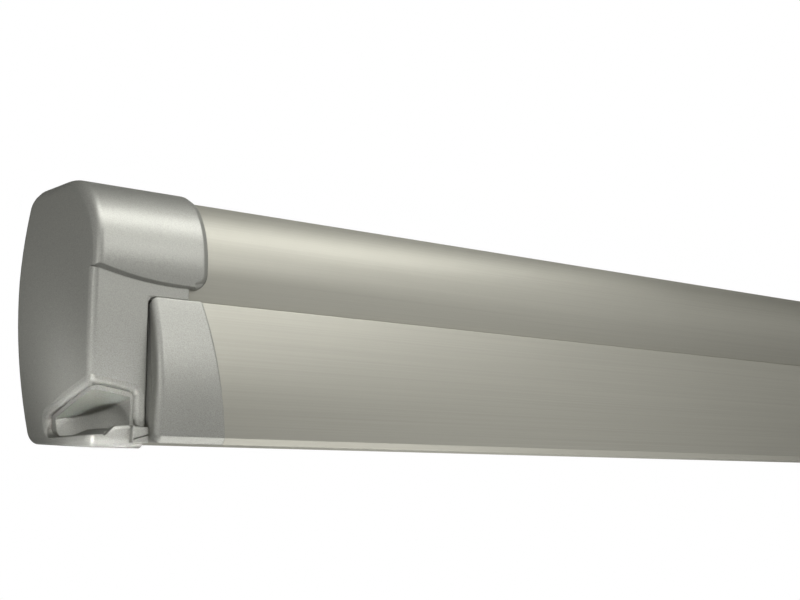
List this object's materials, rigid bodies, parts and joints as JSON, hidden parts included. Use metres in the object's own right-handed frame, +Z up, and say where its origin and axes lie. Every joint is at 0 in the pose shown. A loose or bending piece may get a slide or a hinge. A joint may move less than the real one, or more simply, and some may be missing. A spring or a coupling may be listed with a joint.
{
  "type": "roll out awning",
  "caption": "Wall-mounted cassette awning: a crank-driven fabric roller, folding arms, a lead rail that closes the front, and telescopic legs stowed under it.",
  "frame": {"origin": "centre of the wall bolt pattern, on the wall plane at mid-height of the cassette", "axes": "+X along the wall with the crank at +X, +Y into the wall, +Z up"},
  "size_m": [2.6, 0.1351, 0.2061],
  "materials": {
    "anodised_profile": "satin anodised, champagne grey",
    "cap_moulding": "metallic paint, fine grain",
    "cup_moulding": "metallic paint, fine grain",
    "plate_alloy": "mill finish",
    "bush_plastic": "moulded",
    "gearbox_plastic": "moulded",
    "steel": "zinc plated",
    "seal_rubber": "matt",
    "roller_alloy": "mill finish",
    "awning_fabric": "coated woven cloth",
    "plug_plastic": "moulded",
    "gear_brass": "machined",
    "hem_plastic": "extruded",
    "arm_casting": "powder coated casting",
    "arm_tube": "satin anodised",
    "leg_plastic": "moulded",
    "lever_plastic": "moulded",
    "foot_rubber": "matt"
  },
  "bodies": {
    "cassette": {"cassette_profile": "anodised_profile", "left_end_cap": "cap_moulding", "right_end_cap": "cap_moulding", "left_crank_cup": "cup_moulding", "right_crank_cup": "cup_moulding", "left_end_plate": "plate_alloy", "right_end_plate": "plate_alloy", "roller_bushes": "bush_plastic", "gearbox_housing": "gearbox_plastic", "gearbox_cover": "gearbox_plastic", "wall_bracket_left": "plate_alloy", "wall_bracket_middle": "plate_alloy", "wall_bracket_right": "plate_alloy", "body_bolts": "steel", "end_plate_screws": "steel", "wall_seal": "seal_rubber", "left_shoulder_bracket": "arm_casting", "right_shoulder_bracket": "arm_casting", "shoulder_pins": "steel"},
    "roller": {"roller_tube": "roller_alloy", "fabric_roll": "awning_fabric", "left_roller_plug": "plug_plastic", "right_roller_plug": "plug_plastic", "worm_wheel": "gear_brass"},
    "crank": {"worm_shaft": "steel", "crank_eye": "steel"},
    "lead_rail": {"lead_rail_profile": "anodised_profile", "left_rail_cap": "cap_moulding", "right_rail_cap": "cap_moulding", "left_wrist_bracket": "arm_casting", "right_wrist_bracket": "arm_casting", "wrist_pins": "steel", "hem_rod": "hem_plastic", "leg_pins": "steel"},
    "fabric": {"fabric_sheet": "awning_fabric"},
    "left_inner_arm": {"left_shoulder_knuckle": "arm_casting", "left_inner_tube": "arm_tube", "left_elbow_fork": "arm_casting", "left_elbow_pin": "steel"},
    "left_outer_arm": {"left_elbow_tongue": "arm_casting", "left_outer_tube": "arm_tube", "left_wrist_tongue": "arm_casting"},
    "left_leg": {"left_leg_outer_tube": "arm_tube", "left_leg_collar": "leg_plastic"},
    "left_leg_lock": {"left_leg_lever": "lever_plastic"},
    "left_leg_inner": {"left_leg_inner_tube": "arm_tube", "left_leg_foot": "foot_rubber"},
    "right_inner_arm": {"right_shoulder_knuckle": "arm_casting", "right_inner_tube": "arm_tube", "right_elbow_fork": "arm_casting", "right_elbow_pin": "steel"},
    "right_outer_arm": {"right_elbow_tongue": "arm_casting", "right_outer_tube": "arm_tube", "right_wrist_tongue": "arm_casting"},
    "right_leg": {"right_leg_outer_tube": "arm_tube", "right_leg_collar": "leg_plastic"},
    "right_leg_lock": {"right_leg_lever": "lever_plastic"},
    "right_leg_inner": {"right_leg_inner_tube": "arm_tube", "right_leg_foot": "foot_rubber"}
  },
  "joints": [
    {"name": "roll_out", "type": "hinge", "parent": "cassette", "child": "left_inner_arm", "pos_m": [-1.14, -0.036, -0.03274], "axis": [0, 0.0872, -0.9962], "range_deg": [0, 66.7], "deforming": ["fabric_sheet"]},
    {"name": "left_elbow", "type": "hinge", "parent": "left_inner_arm", "child": "left_outer_arm", "pos_m": [-0.11, -0.05895, -0.03475], "axis": [0, 0.0872, -0.9962], "range_deg": [-133.4, 0]},
    {"name": "left_wrist", "type": "hinge", "parent": "left_outer_arm", "child": "lead_rail", "pos_m": [-1.14, -0.0819, -0.03676], "axis": [0, 0.0872, -0.9962], "range_deg": [0, 66.7]},
    {"name": "right_shoulder", "type": "hinge", "parent": "cassette", "child": "right_inner_arm", "pos_m": [1.14, -0.036, -0.03274], "axis": [0, -0.0872, 0.9962], "range_deg": [0, 66.7]},
    {"name": "right_elbow", "type": "hinge", "parent": "right_inner_arm", "child": "right_outer_arm", "pos_m": [0.11, -0.05895, -0.03475], "axis": [0, -0.0872, 0.9962], "range_deg": [-133.4, 0]},
    {"name": "roller_spin", "type": "hinge", "parent": "cassette", "child": "roller", "pos_m": [0, -0.068, 0.045], "axis": [-1, 0, 0], "range_deg": [0, 2612.45]},
    {"name": "crank_spin", "type": "hinge", "parent": "cassette", "child": "crank", "pos_m": [1.266, -0.101, 0.045], "axis": [0, 0, -1], "range_deg": [0, 18281.13]},
    {"name": "fabric_draw", "type": "slide", "parent": "cassette", "child": "fabric", "axis": [0, -0.9962, -0.0872], "range_m": [0, 1.86465]},
    {"name": "left_leg_fold", "type": "hinge", "parent": "lead_rail", "child": "left_leg", "pos_m": [-1.17, -0.12075, -0.0851], "axis": [0, 1, 0], "range_deg": [0, 90]},
    {"name": "left_leg_extend", "type": "slide", "parent": "left_leg", "child": "left_leg_inner", "axis": [1, 0, 0], "range_m": [0, 0.9]},
    {"name": "left_leg_lock_lever", "type": "hinge", "parent": "left_leg", "child": "left_leg_lock", "pos_m": [-0.2083, -0.12075, -0.0979], "axis": [0, 1, 0], "range_deg": [0, 90]},
    {"name": "right_leg_fold", "type": "hinge", "parent": "lead_rail", "child": "right_leg", "pos_m": [1.17, -0.10425, -0.0851], "axis": [0, -1, 0], "range_deg": [0, 90]},
    {"name": "right_leg_extend", "type": "slide", "parent": "right_leg", "child": "right_leg_inner", "axis": [-1, 0, 0], "range_m": [0, 0.9]},
    {"name": "right_leg_lock_lever", "type": "hinge", "parent": "right_leg", "child": "right_leg_lock", "pos_m": [0.2083, -0.10425, -0.0979], "axis": [0, -1, 0], "range_deg": [0, 90]}
  ],
  "couplings": [
    {"joint": "left_elbow", "follows": "roll_out", "ratio": -2},
    {"joint": "left_wrist", "follows": "roll_out", "ratio": 1},
    {"joint": "right_shoulder", "follows": "roll_out", "ratio": 1},
    {"joint": "right_elbow", "follows": "roll_out", "ratio": -2},
    {"joint": "roller_spin", "follows": "roll_out", "ratio": 39.152},
    {"joint": "crank_spin", "follows": "roll_out", "ratio": 274.06},
    {"joint": "fabric_draw", "follows": "roll_out", "m_per_rad": 1.6013}
  ]
}
